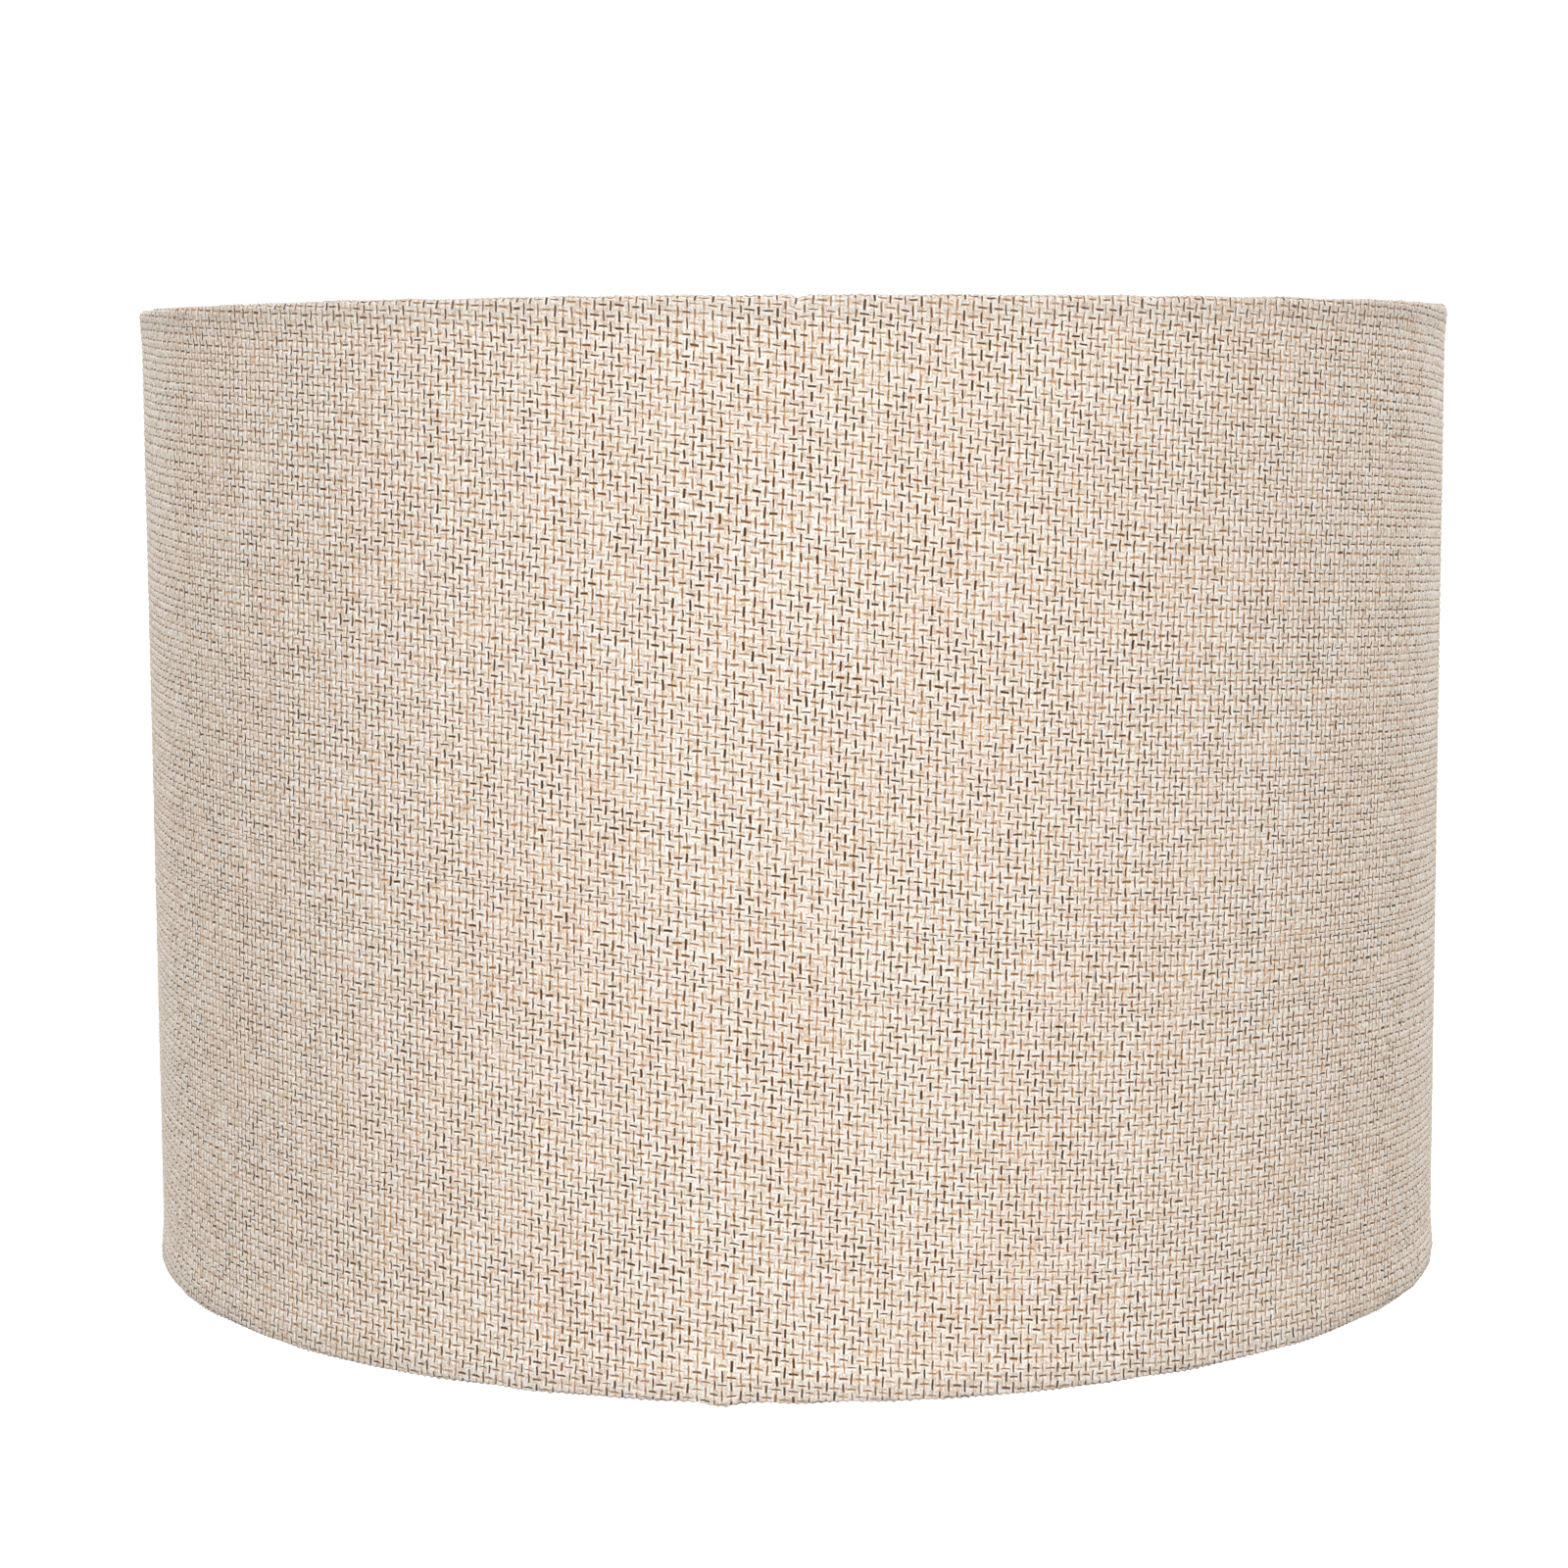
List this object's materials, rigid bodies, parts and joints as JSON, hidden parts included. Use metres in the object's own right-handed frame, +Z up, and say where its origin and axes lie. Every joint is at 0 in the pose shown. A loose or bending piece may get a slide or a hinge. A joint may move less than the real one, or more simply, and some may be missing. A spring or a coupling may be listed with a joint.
{
  "type": "lamp shade",
  "caption": "Straight-sided drum lamp shade in laminated coarse linen, with rolled hems over wire rings, a spoked fitter ring and a lift-out reducer ring.",
  "frame": {"origin": "centre of the circle on which the bottom rim rests", "axes": "+Z up along the drum's axis, -Y towards the front, where one spoke points; +X to the viewer's right"},
  "size_m": [0.3024, 0.3024, 0.22],
  "materials": {
    "linen_cloth": "coarse plain-weave linen, natural oatmeal, matt",
    "liner_sheet": "white laminating sheet, satin",
    "adhesive_tape": "thin double-sided tape, slightly glossy",
    "painted_wire": "white powder coat",
    "painted_sheet_steel": "white powder coat",
    "reducer_plastic": "moulded white polypropylene, satin"
  },
  "bodies": {
    "shade": {"outer_cover": "linen_cloth", "inner_liner": "liner_sheet", "seam_tape": "adhesive_tape", "top_ring": "painted_wire", "bottom_ring": "painted_wire", "top_ring_tape": "adhesive_tape", "bottom_ring_tape": "adhesive_tape", "spoke_front": "painted_wire", "spoke_back_right": "painted_wire", "spoke_back_left": "painted_wire", "spoke_rim_welds": "painted_wire", "spoke_fitter_welds": "painted_wire", "fitter_ring": "painted_sheet_steel"},
    "reducer": {"reducer_ring": "reducer_plastic"}
  },
  "joints": [
    {"name": "reducer_lift", "type": "slide", "parent": "shade", "child": "reducer", "axis": [0, 0, 1], "range_m": [0, 0.045]}
  ]
}
